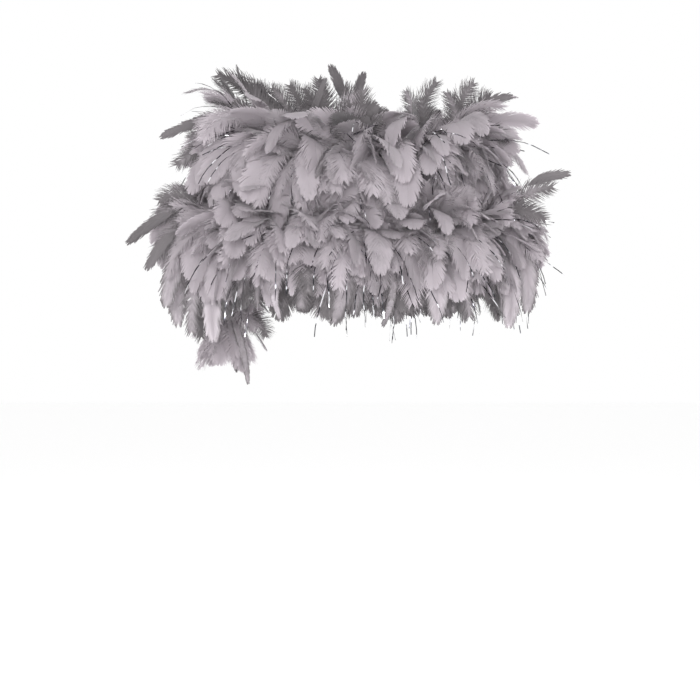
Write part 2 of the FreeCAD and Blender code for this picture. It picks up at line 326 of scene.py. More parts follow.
def feather_material():
    """Matt greyish lavender barbs that let some light through, with painted shade that darkens their tips.

    Of the look attribute, red is the feather's tone and green the place along its quill. Blue is the place out
    along a barb, raised where a feather has painted shade all over, and alpha is how strong the painted shade
    at the tips is.
    """
    material, tree = new_material("feather")
    tone, along, tip, edge = read_look(tree)
    barb_place = add_node(
        tree,
        "ShaderNodeCombineXYZ",
        X=calculate(tree, "MULTIPLY", along, STREAKS_ALONG),
        Y=calculate(tree, "MULTIPLY", tone, STREAKS_BY_TONE),
        Z=calculate(tree, "MULTIPLY", tip, STREAKS_OUTWARD),
    )
    streaks = add_node(
        tree, "ShaderNodeTexNoise", Vector=barb_place.outputs[0], Scale=1.0, Detail=2.0, Roughness=0.6
    ).outputs["Fac"]
    coordinates = add_node(tree, "ShaderNodeTexCoord").outputs["Object"]
    mottling = add_node(tree, "ShaderNodeTexNoise", Vector=coordinates, Scale=55.0, Detail=3.0).outputs["Fac"]
    from_tone = calculate(tree, "MULTIPLY", tone, TONE_SHARE)
    from_streaks = calculate(tree, "MULTIPLY", streaks, STREAK_SHARE)
    mixed = calculate(tree, "ADD", from_tone, from_streaks)
    mixed = calculate(tree, "ADD", mixed, calculate(tree, "MULTIPLY", mottling, MOTTLING_SHARE))
    # Painted shade: darker barb tips, and whole feathers darker at the top and the outline, letting less light
    # through.
    shade = calculate(tree, "MULTIPLY", calculate(tree, "MULTIPLY", tip, tip), edge)
    mixed = calculate(tree, "SUBTRACT", mixed, calculate(tree, "MULTIPLY", shade, SHADE_DARKENS))
    colour = ramp(tree, mixed, FEATHER_STOPS)
    bump = add_node(tree, "ShaderNodeBump", Height=streaks, Strength=0.35, Distance=0.0006).outputs[0]
    surface = add_node(
        tree,
        "ShaderNodeBsdfPrincipled",
        Base_Color=colour,
        Roughness=varied(tree, mottling, 0.55, 0.2),
        Specular_IOR_Level=0.3,
        Sheen_Weight=0.25,
        Sheen_Roughness=0.5,
        Normal=bump,
    )
    through = add_node(tree, "ShaderNodeBsdfTranslucent", Color=colour)
    painted_shade_blocks = calculate(tree, "MULTIPLY", shade, PAINTED_SHADE_DIMS_TRANSLUCENCE)
    let_through = calculate(tree, "SUBTRACT", FEATHER_TRANSLUCENCE, painted_shade_blocks)
    mix = add_node(tree, "ShaderNodeMixShader", Fac=let_through, n1=surface.outputs[0], n2=through.outputs[0])
    finish_material(tree, mix.outputs[0])
    return material


# How fast the painted glints change along a strand and from one strand to another, and the colours over them,
# from painted dark reflections to bright painted glints.
PAINTED_GLINTS_ALONG, PAINTED_GLINTS_BY_STRAND = 9.0, 57.0
TINSEL_STOPS = [
    (0.46, (0.035, 0.035, 0.042)),
    (0.53, (0.16, 0.16, 0.18)),
    (0.57, (0.93, 0.93, 0.96)),
]


def tinsel_material():
    """Thin silver film with real reflections, its colour painted dark with bright glints along each strand."""
    material, tree = new_material("tinsel")
    strand, along, *_ = read_look(tree)
    place = add_node(
        tree,
        "ShaderNodeCombineXYZ",
        X=calculate(tree, "MULTIPLY", along, PAINTED_GLINTS_ALONG),
        Y=calculate(tree, "MULTIPLY", strand, PAINTED_GLINTS_BY_STRAND),
    )
    noise = add_node(tree, "ShaderNodeTexNoise", Vector=place.outputs[0], Scale=1.0, Detail=1.0)
    painted_glints = noise.outputs["Fac"]
    # Painted reflections: dark and bright colour along the strand, in place of what the film would reflect.
    colour = ramp(tree, painted_glints, TINSEL_STOPS)
    surface = add_node(
        tree,
        "ShaderNodeBsdfPrincipled",
        Base_Color=colour,
        Metallic=1.0,
        Roughness=varied(tree, painted_glints, 0.06, 0.2),
    )
    finish_material(tree, surface.outputs[0])
    return material


def spun_material(name, dark, light, fibre_scale, sheen):
    """Spun thread or cord: fine fibres along it, matt, with painted shade in the hollows of their bump."""
    material, tree = new_material(name)
    coordinates = add_node(tree, "ShaderNodeTexCoord").outputs["Object"]
    noise = add_node(
        tree,
        "ShaderNodeTexNoise",
        Vector=coordinates,
        Scale=fibre_scale,
        Detail=4.0,
        Roughness=0.7,
        Distortion=1.2,
    )
    fibres = noise.outputs["Fac"]
    # The colour follows the fibres and, because the bump uses the same noise, it also puts painted shade in
    # the bump's hollows.
    colour = ramp(tree, fibres, [(0.3, dark), (0.7, light)])
    bump = add_node(tree, "ShaderNodeBump", Height=fibres, Strength=0.6, Distance=0.0003).outputs[0]
    surface = add_node(
        tree,
        "ShaderNodeBsdfPrincipled",
        Base_Color=colour,
        Roughness=varied(tree, fibres, 0.6, 0.25),
        Specular_IOR_Level=0.25,
        Sheen_Weight=sheen,
        Normal=bump,
    )
    finish_material(tree, surface.outputs[0])
    return material


feather_finish = feather_material()
tinsel_finish = tinsel_material()
cord_finish = spun_material("core_cord", (0.30, 0.27, 0.31), (0.55, 0.51, 0.56), 2600.0, 0.2)
thread_finish = spun_material("thread", (0.36, 0.33, 0.37), (0.62, 0.58, 0.63), 4200.0, 0.4)

# ---- the core cord, its whippings and knots

STRAND_RADIUS = 0.00134
STRAND_OFFSET = 0.00114
CORD_PITCH = 0.013
WHIPPING_LENGTH = 0.012
THREAD_RADIUS = 0.00040
THREAD_CIRCLE = 0.00306
THREAD_STEP = 0.00006
KNOT_LENGTH = 0.009
# The knot's line: its points, its radius and how much that swings, its rise, and a way that isn't along the
# cord.
KNOT_POINTS = 90
KNOT_RADIUS, KNOT_SWING, KNOT_RISE = 0.0021, 0.0009, 0.0023
KNOT_ASIDE = [0.3, 0.8, 0.5]
# The knot's cord, drawn tighter than the rest.
KNOT_STRAND_RADIUS, KNOT_STRAND_OFFSET, KNOT_PITCH = 0.00102, 0.00086, 0.008
# The heights on the tail where one stretch of cord hands over to the next. The hinges lie between them.
UPPER_SPLIT = -0.128
LOWER_SPLIT = -0.160
UPPER_HINGE = -0.146
LOWER_HINGE = -0.174


def finished(thing, body, nodes):
    """Rides a piece on its body and hides the CAD nodes that it stands for."""
    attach(thing, body)
    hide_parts(*nodes)
    return thing


def whipping(name, node, start, end, body):
    """Thread wound round the cord between two distances along it."""
    line = core_stretch(start, end, THREAD_STEP)
    _, across, over = carried_frames(line)
    turns = WHIPPING_LENGTH / (2 * THREAD_RADIUS) - 1
    turn = np.linspace(0, 2 * math.pi * turns, len(line))[:, None]
    helix = line + THREAD_CIRCLE * (np.cos(turn) * across + np.sin(turn) * over)
    thing = mesh_object(name, [tube(helix, THREAD_RADIUS, 6, (0.5, 0.5, 0.5, 1))], thread_finish)
    return finished(thing, body, [node])


def knot(name, node, end, heading, body):
    """An overhand knot in the cord, past its end."""
    turn = np.linspace(0, 2 * math.pi, KNOT_POINTS)
    ring = KNOT_RADIUS + KNOT_SWING * np.cos(3 * turn)
    across = unit(np.cross(heading, KNOT_ASIDE))
    over = np.cross(heading, across)
    middle = end + heading * KNOT_LENGTH / 2
    line = (
        middle
        + (ring * np.cos(2 * turn))[:, None] * across
        + (ring * np.sin(2 * turn))[:, None] * over
        + (KNOT_RISE * np.sin(3 * turn))[:, None] * heading
    )
    cord = twisted_cord(line, KNOT_STRAND_RADIUS, KNOT_STRAND_OFFSET, KNOT_PITCH)
    thing = mesh_object(name, cord, cord_finish)
    return finished(thing, body, [node])


def cord_piece(name, node, start, end):
    """A twisted stretch of the core cord between two distances, and its line."""
    line = core_stretch(start, end)
    thing = mesh_object(name, twisted_cord(line, STRAND_RADIUS, STRAND_OFFSET, CORD_PITCH), cord_finish)
    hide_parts(node)
    return thing, line


upper_distance = core_at_height(UPPER_SPLIT)
lower_distance = core_at_height(LOWER_SPLIT)
start_place, start_heading = on_core(0.0)
end_place = np.array(ROUTE[-1])

whipping_a = whipping("whipping_a_thread", "end_whipping_a", 0.0, WHIPPING_LENGTH, "wrap")
knot_a = knot("knot_a_tied", "end_knot_a", start_place, -start_heading, "wrap")
whipping_b_start = CORE_LENGTH - WHIPPING_LENGTH
whipping_b = whipping("whipping_b_thread", "end_whipping_b", whipping_b_start, CORE_LENGTH, "tail_lower")
knot_b = knot("knot_b_tied", "end_knot_b", end_place, DOWN, "tail_lower")

wound_cord, wound_line = cord_piece("core_cord_twisted", "core_cord", upper_distance, 0.0)
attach(wound_cord, "wrap")

TAIL_CORDS = [
    ("tail_cord_upper", upper_distance, lower_distance, ("wrap", "tail_upper"), UPPER_HINGE, "object", []),
    (
        "tail_cord_lower", lower_distance, CORE_LENGTH, ("tail_upper", "tail_lower"), LOWER_HINGE, "knot",
        [whipping_b, knot_b],
    ),
]
for node, start, end, bodies, hinge, far_end, on_it in TAIL_CORDS:
    piece, line = cord_piece(f"{node}_twisted", node, start, end)
    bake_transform(piece)

# ---- feathers

QUILL_STEPS = 12
QUILL_RADIUS = 0.00055
QUILL_TIP_SHARE = 0.2


def sagging(root, heading, length, sag, sway):
    """The points of a quill that leaves root along heading and bends down and aside as it goes."""
    step = length / QUILL_STEPS
    points = [root]
    for _ in range(QUILL_STEPS):
        heading = unit(heading + step * (sag * (DOWN - DOWN @ heading * heading) + sway))
        points.append(points[-1] + heading * step)
    return np.array(points)


def arching(root, tip, lift):
    """The points of a quill that arches from root to tip, raised in the middle by the vector lift."""
    share = np.linspace(0, 1, QUILL_STEPS + 1)[:, None]
    return root + (tip - root) * share + 4 * lift * share * (1 - share)


def quill_table(points, across, twist):
    """A row for each point of a quill: its place, the ways to its side and over its face, its heading."""
    headings = unit(np.gradient(points, axis=0))
    rows = []
    side = across
    for step, (point, heading) in enumerate(zip(points, headings)):
        side = unit(side - side @ heading * heading)
        face = np.cross(heading, side)
        turn = twist * step / QUILL_STEPS
        turned_side = side * math.cos(turn) + face * math.sin(turn)
        turned_face = face * math.cos(turn) - side * math.sin(turn)
        rows.append(np.concatenate([point, turned_side, turned_face, heading]))
    return np.array(rows)


def beside_quill(table, length, along, across, above):
    """Places near a quill, from the distances along it and to its side, and the height over its face."""
    inside = np.clip(along, 0, length)
    step = inside / length * QUILL_STEPS
    low = np.minimum(step.astype(int), QUILL_STEPS - 1)
    share = (step - low)[..., None]
    row = table[low] * (1 - share) + table[low + 1] * share
    past = (along - inside)[..., None]
    return (
        row[..., 0:3]
        + across[..., None] * row[..., 3:6]
        + above[..., None] * row[..., 6:9]
        + past * row[..., 9:12]
    )


# Each kind of feather. barbs: on each side of the vane. angle: of the barbs to the quill, at the base and
# the tip. cover: a barb's width, as a share of their spacing. taper: that width near the tip and at it,
# as shares of it. peak: where the vane is widest. blunt: how square its tip is. ragged: how much the
# barbs' lengths differ. frizz: how much they curl. cup: how far the edges bend down, per metre. base: the
# share of the quill with loose down only. splits: the most gaps on a side, and how wide they open. edge:
# how much painted shade darkens the barbs' tips, most for the kinds that make the outline. stations: the
# points along a barb.
KINDS = {
    "broad": dict(
        barbs=72, angle=(58, 11), cover=1.7, taper=(0.9, 0.3), peak=0.5, blunt=2.5, ragged=0.05, frizz=0.03,
        cup=6.0, base=0.22, splits=(1, 0.05), edge=0.1, stations=4,
    ),
    "downy": dict(
        barbs=84, angle=(64, 30), cover=1.25, taper=(0.6, 0.15), peak=0.5, blunt=2.3, ragged=0.14, frizz=0.1,
        cup=4.0, base=0.1, splits=(2, 0.12), edge=0.3, stations=4,
    ),
    "slim": dict(
        barbs=50, angle=(34, 7), cover=1.6, taper=(0.9, 0.2), peak=0.5, blunt=2.4, ragged=0.04, frizz=0.02,
        cup=10.0, base=0.2, splits=(1, 0.1), edge=0.3, stations=3,
    ),
    "plume": dict(
        barbs=104, angle=(70, 36), cover=1.4, taper=(0.5, 0.12), peak=0.5, blunt=2.2, ragged=0.13, frizz=0.1,
        cup=3.0, base=0.05, splits=(2, 0.12), edge=1.0, stations=5,
    ),
    "leaf": dict(
        barbs=44, angle=(38, 6), cover=1.6, taper=(0.9, 0.3), peak=0.75, blunt=2.6, ragged=0.05, frizz=0.03,
        cup=8.0, base=0.6, splits=(1, 0.08), edge=0.7, stations=3,
    ),
}
HALF_WIDTHS = {
    "broad": (0.012, 0.019),
    "downy": (0.012, 0.018),
    "slim": (0.0040, 0.0060),
    "plume": (0.015, 0.018),
    "leaf": (0.0055, 0.0060),
}
# A barb's angle falls by this share along it, and one edge of it is raised so that barbs overlap like
# shingles.
BARB_BEND = 0.3
SHINGLE = 0.00009
# A quill is this share of its feather's length.
QUILL_SHARE = 0.92
QUILL_TWIST = 0.3
# The vane's width at its base and what it gains up to its widest, as shares of the widest.
BASE_WIDTH, BASE_GAIN = 0.4, 0.6
HALVINGS = 16
# How far a barb's curl turns, in radians, how much of it is along the quill, and where on a barb its taper
# starts.
CURL_TURNS = (2, 6)
CURL_ALONG = 0.7
TAPER_FROM = 0.6
# How the barbs' angle falls towards the tip, how much it differs, in radians, and what frizz adds to that.
ANGLE_POWER = 1.3
ANGLE_SPREAD, FRIZZ_SPREAD = 0.015, 0.5
ANGLE_LIMITS = (0.1, 1.5)
LENGTH_LIMITS = (0.5, 1.3)
# Where along the vane it can split, how much of the widest opening a split has, and how far it reaches.
SPLIT_PLACES = (0.3, 0.85)
SPLIT_OPENING = (0.3, 1.0)
SPLIT_REACH = 0.06
# The loose barbs of down at a feather's base, on each side: how many, their width, how far they grow into
# the vane, their lengths as shares of the vane's half width, and their angles in degrees.
BASE_BARBS = 16
DOWN_WIDTH = 0.0005
DOWN_INTO_VANE = 0.08
DOWN_LONGEST = 1.3
DOWN_LENGTHS = (0.45, 1.0)
DOWN_ANGLES = (45, 100)
DOWN_TAPER, DOWN_FRIZZ, DOWN_CUP, DOWN_STATIONS = (0.9, 0.2), 0.3, 2.0, 4
# How much of a feather's own lightness it loses when painted shade covers all of it.
PAINTED_SHADE_DULLS = 0.75


def vane_outline(share, peak, blunt):
    """Half the vane's width, as a share of its widest, at a share of the feather's length."""
    rising = BASE_WIDTH + BASE_GAIN * np.sin(np.clip(share / peak, 0, 1) * math.pi / 2)
    falling = 1 - np.clip((share - peak) / (1 - peak), 0, 1) ** blunt
    return rising * np.sqrt(falling)


def lengths_to_outline(roots, angles, length, half_width, style):
    """How long each barb is, so that its tip ends on the vane's outline."""
    mean_angle = angles * (1 - BARB_BEND / 2)
    shortest = np.zeros(len(roots))
    longest = np.full(len(roots), length)
    for _ in range(HALVINGS):
        middle = (shortest + longest) / 2
        share = (roots + middle * np.cos(mean_angle)) / length
        inside = middle * np.sin(mean_angle) < half_width * vane_outline(share, style["peak"], style["blunt"])
        shortest = np.where(inside, middle, shortest)
        longest = np.where(inside, longest, middle)
    return shortest


def barb_strips(
    rng, table, length, side, roots, angles, lengths, widths, taper, frizz, cup, stations, shading
):
    """Strips that leave a quill on one side, towards its tip. Roots to widths have a value for each."""
    tone, edge, painted_shade = shading
    share = np.linspace(0, 1, stations)[None, :]
    angle = angles[:, None] * (1 - BARB_BEND * share)
    step = lengths[:, None] / (stations - 1)
    before = (slice(None), slice(0, -1))
    start = np.zeros((len(roots), 1))
    advance = np.concatenate([start, np.cumsum(np.cos(angle[before]) * step, axis=1)], axis=1)
    forward = roots[:, None] + advance
    outward = np.concatenate([start, np.cumsum(np.sin(angle[before]) * step, axis=1)], axis=1)
    curl = rng.uniform(0, 2 * math.pi, (len(roots), 1)) + rng.uniform(*CURL_TURNS, (len(roots), 1)) * share
    swing = frizz * lengths[:, None] * share
    forward = forward + swing * np.cos(curl) * CURL_ALONG
    above = swing * np.sin(curl) - cup * outward**2
    half = widths[:, None] / 2 * np.interp(share, [0, TAPER_FROM, 1], [1.0, *taper])
    vertices = []
    for edge_side in (-1, 1):
        vertices.append(
            beside_quill(
                table,
                length,
                forward - edge_side * half * np.sin(angle),
                side * (outward + edge_side * half * np.cos(angle)),
                above + edge_side * SHINGLE,
            )
        )
    vertices = np.stack(vertices, axis=2).reshape(-1, 3)
    look = np.empty((len(roots), stations, 2, 4))
    look[..., 0] = tone
    look[..., 1] = (roots / length)[:, None, None]
    # Blue: the place out along the barb, raised by painted shade all over.
    look[..., 2] = (painted_shade + (1 - painted_shade) * share)[..., None]
    look[..., 3] = edge
    return vertices, grid_quads(len(roots), stations, 2), look.reshape(-1, 4)


def shaft(table, length, tone, painted_shade):
    """The quill itself: three-sided and tapered."""
    along = np.linspace(0, length, QUILL_STEPS + 1)[:, None]
    radius = QUILL_RADIUS * np.linspace(1, QUILL_TIP_SHARE, QUILL_STEPS + 1)[:, None]
    turn = np.arange(3)[None, :] * 2 * math.pi / 3 + math.pi / 2
    vertices = beside_quill(table, length, along + 0 * turn, radius * np.cos(turn), radius * np.sin(turn))
    look = np.tile((tone, 0.0, painted_shade, 1.0), (vertices.size // 3, 1))
    return vertices.reshape(-1, 3), grid_quads(1, QUILL_STEPS + 1, 3, closed=True), look


def feather(rng, points, across, kind, half_width, darker=0.0, painted_shade=0.0):
    """The parts of one feather on a quill's points, its vane across the given direction."""
    style = KINDS[kind]
    edge = style["edge"] + (1 - style["edge"]) * darker
    table = quill_table(points, across, rng.normal(0, QUILL_TWIST))
    length = float(np.linalg.norm(np.diff(points, axis=0), axis=1).sum())
    whole = length / QUILL_SHARE
    # Painted shade all over also takes away some of the feather's own lightness.
    tone = rng.uniform(0, 1) * (1 - PAINTED_SHADE_DULLS * painted_shade)
    shading = (tone, edge, painted_shade)
    parts = [shaft(table, length, tone, painted_shade)]
    first, last = (math.radians(angle) for angle in style["angle"])
    most_splits, opening = style["splits"]
    for side in (-1, 1):
        share = np.linspace(style["base"], 1.0, style["barbs"])
        angles = first + (last - first) * share**ANGLE_POWER
        lengths = lengths_to_outline(share * length, angles, whole, half_width, style)
        lengths = lengths * rng.normal(1, style["ragged"], len(share)).clip(*LENGTH_LIMITS)
        angles = angles + rng.normal(0, ANGLE_SPREAD + style["frizz"] * FRIZZ_SPREAD, len(share))
        for split in rng.uniform(*SPLIT_PLACES, rng.integers(0, most_splits + 1)):
            gap = rng.uniform(*SPLIT_OPENING) * opening * np.exp(-np.abs(share - split) / SPLIT_REACH)
            angles = angles - gap * np.sign(share - split)
        spacing = length * (1 - style["base"]) / style["barbs"]
        widths = np.full(len(share), max(spacing * style["cover"], DOWN_WIDTH))
        parts.append(
            barb_strips(
                rng, table, length, side, share * length, angles.clip(*ANGLE_LIMITS), lengths, widths,
                style["taper"], style["frizz"], style["cup"], style["stations"], shading,
            )
        )
        share = rng.uniform(0.0, style["base"] + DOWN_INTO_VANE, BASE_BARBS)
        lengths = DOWN_LONGEST * half_width * rng.uniform(*DOWN_LENGTHS, BASE_BARBS)
        angles = np.radians(rng.uniform(*DOWN_ANGLES, BASE_BARBS))
        parts.append(
            barb_strips(
                rng, table, length, side, share * length, angles, lengths, np.full(BASE_BARBS, DOWN_WIDTH),
                DOWN_TAPER, DOWN_FRIZZ, DOWN_CUP, DOWN_STATIONS, shading,
            )
        )
    return parts


# ---- where the wound stretch's feathers grow

MARGIN = 0.022
TUFT_SPACING = 0.050
ROWS = 6
LONG, MIDDLE, SHORT = 0.098, 0.086, 0.072

# For each stretch: its feathers' lengths from the highest row down, then how many of each kind a tuft has.
STRETCHES = {
    "end_tuft": (
        [SHORT] * 2 + [MIDDLE] * 4,
        {"broad": 10, "downy": 16, "plume": 3, "slim": 1},
    ),
    "neck_tuft": (
        [MIDDLE] * 2 + [LONG] * 4,
        {"broad": 20, "downy": 24, "plume": 5, "slim": 2},
    ),
    "cross_tuft": (
        [MIDDLE] * 2 + [LONG] * 4,
        {"broad": 18, "downy": 22, "plume": 3, "slim": 1},
    ),
    "side_tuft": (
        [SHORT] * 2 + [MIDDLE] * 2 + [LONG] * 2,
        {"broad": 20, "downy": 20, "plume": 2, "slim": 2},
    ),
    "arm_tuft": (
        [SHORT] * 2 + [MIDDLE] * 2 + [LONG] * 2,
        {"broad": 26, "downy": 20, "plume": 2, "slim": 3},
    ),
    "last_tuft": ([SHORT] * ROWS, {"broad": 11, "downy": 17, "slim": 1}),
}
# How far the feathers of each stretch reach above and below its fan, in degrees. They fill the room
# between the turns, which the CAD keeps clear.
STRAYING = {
    "end_tuft": (-6, 26),
    "neck_tuft": (4, 58),
    "cross_tuft": (20, 40),
    "side_tuft": (10, 58),
    "arm_tuft": (32, 12),
    "last_tuft": (20, 15),
}

# As in part.py, but in metres: a distance along the cord, then the tilts above level of the highest row and
# of the lowest.
FAN = [
    (0.000, 74, 32),
    (0.150, 76, 28),
    (0.230, 78, 4),
    (0.490, 76, 2),
    (0.560, 28, -10),
    (0.822, 24, -12),
    (0.822, 50, 4),
    (0.930, 50, 4),
    (1.000, 40, -50),
    (1.300, 38, -50),
    (1.400, 2, -58),
    (1.572, 0, -58),
    (1.572, 4, -38),
    (1.700, 4, -38),
]
MOST_YAW = 34
# How strongly feathers bend down, per metre, where they leave about level and where they stand up steeply.
LEVEL_TILT, LEVEL_SAG = 25, (14, 30)
STEEP_TILT, STEEP_SAG = 65, (6, 15)
# The share of steep feathers that curl over and fall in front of the cord like the level ones.
CURLING_SHARE = 0.45
# The share of feathers that lie nearly along the cord and hide it, their yaw and the share of their full
# length.
CROSSING_SHARE = 0.3
CROSSING_YAW = (40, 72)
CROSSING_LENGTH = 0.8
# Feathers that rise from the cord, arch over and hang in front of it, which hides the parting between the
# turns. For each stretch: how many in a tuft, their tilts, their lengths and how strongly they bend.
HANGING = {
    "end_tuft": (10, (25, 70), (0.080, 0.100), (24, 44)),
    "neck_tuft": (38, (-5, 78), (0.092, 0.128), (14, 38)),
    "cross_tuft": (18, (12, 78), (0.088, 0.118), (17, 40)),
    "side_tuft": (20, (0, 75), (0.086, 0.116), (16, 42)),
    "arm_tuft": (20, (8, 78), (0.078, 0.110), (14, 44)),
    "last_tuft": (7, (5, 60), (0.066, 0.080), (22, 40)),
}
HANGING_YAW = 55
HANGING_KINDS, HANGING_SHARES = ["broad", "downy"], [0.5, 0.5]
# How much painted shade darkens the feathers that stand up steeply at the top, at their edges and all over,
# from 0 to 1.
STANDING_PAINTED_SHADE = {
    "end_tuft": (1.0, 0.9),
    "neck_tuft": (1.0, 0.85),
    "cross_tuft": (1.0, 0.8),
    "side_tuft": (0.4, 0.0),
    "arm_tuft": (0.3, 0.0),
    "last_tuft": (0.3, 0.0),
}
# The same painted shade for feathers that point down more steeply than the given tilt, which make the lower
# outline.
FALLING_TILT = -20
FALLING_PAINTED_SHADE = (1.0, 0.72)
# How the tufts differ: how far the feathers of one lean along the cord and tilt together, in degrees, and
# how their lengths differ.
TUFT_LEAN = 13
TUFT_TILT = 7
TUFT_LENGTH = 0.07
# How single feathers differ: in length, in how they sway along the cord and upwards, and in how their vanes
# lean.
LENGTH_VARIES = (0.76, 1.04)
SWAY_ALONG, SWAY_UP = 2.5, 1.5
MOST_LEAN = 32
# A feather's root is this far out from the cord's middle, as a share of its diameter.
ROOT_SHARE = 0.4
# Short plumes of down close to the cord: how many in a tuft, how far they stand off it, and their measures.
DOWN_PLUMES = 22
DOWN_PLUME_RISE = (0.35, 0.8)
DOWN_PLUME_LENGTH = (0.026, 0.044)
DOWN_PLUME_SAG = 6
DOWN_PLUME_HALF_WIDTH = 0.010
WOUND_SEED = 7000


def fan_at(distance):
    distances = [row[0] for row in FAN]
    return (np.interp(distance, distances, [row[column] for row in FAN]) for column in (1, 2))


def cord_frame(distance):
    """The place on the cord, the way along it, the way out from the wearer and the way up."""
    place, along = on_core(distance)
    out = unit(np.cross(along, UP))
    return place, along, out, np.cross(out, along)


def leaving_way(out, up, tilt):
    """The way out from the cord at a tilt above level, in degrees."""
    return out * math.cos(math.radians(tilt)) + up * math.sin(math.radians(tilt))


def grown_feather(rng, distance, tilt, yaw, length, kind, sag=None, painted_shade=(0.0, 0.0)):
    """A feather that leaves the wound cord at a tilt above level, leaning along the cord by yaw. Degrees."""
    place, along, out, up = cord_frame(distance)
    leaving = leaving_way(out, up, tilt)
    heading = leaving * math.cos(math.radians(yaw)) + along * math.sin(math.radians(yaw))
    root = place + leaving * CORE_DIAMETER * ROOT_SHARE
    half_width = rng.uniform(*HALF_WIDTHS[kind])
    sway = rng.normal(0, SWAY_ALONG) * along + rng.normal(0, SWAY_UP) * up
    rising = max(0.0, min(1.0, (tilt - LEVEL_TILT) / (STEEP_TILT - LEVEL_TILT)))
    if sag is not None or rng.uniform() < CURLING_SHARE:
        rising = 0.0
    if sag is None:
        sag = rng.uniform(*LEVEL_SAG) * (1 - rising) + rng.uniform(*STEEP_SAG) * rising
    points = sagging(root, heading, length * QUILL_SHARE, sag, sway)
    lean = math.radians(rng.uniform(-MOST_LEAN, MOST_LEAN))
    level = unit(np.cross(heading, np.cross(along, leaving)))
    across = level * math.cos(lean) + np.cross(heading, level) * math.sin(lean)
    # Painted shade for steep feathers at the top and for falling ones at the lower outline.
    painted_edge_shade, painted_shade_all_over = painted_shade[0] * rising, painted_shade[1] * rising
    if tilt < FALLING_TILT:
        painted_edge_shade, painted_shade_all_over = FALLING_PAINTED_SHADE
    return feather(rng, points, across, kind, half_width, painted_edge_shade, painted_shade_all_over)


def down_plume(rng, distance):
    """A short plume of down that lies close to the cord and hides it, on any side."""
    place, along, out, up = cord_frame(distance)
    turn = rng.uniform(0, 2 * math.pi)
    around = out * math.cos(turn) + up * math.sin(turn)
    heading = unit(around * rng.uniform(*DOWN_PLUME_RISE) + along * rng.choice([-1.0, 1.0]))
    root = place + around * CORE_DIAMETER * ROOT_SHARE
    points = sagging(root, heading, rng.uniform(*DOWN_PLUME_LENGTH), DOWN_PLUME_SAG, 0 * UP)
    return feather(rng, points, np.cross(heading, around), "downy", DOWN_PLUME_HALF_WIDTH)


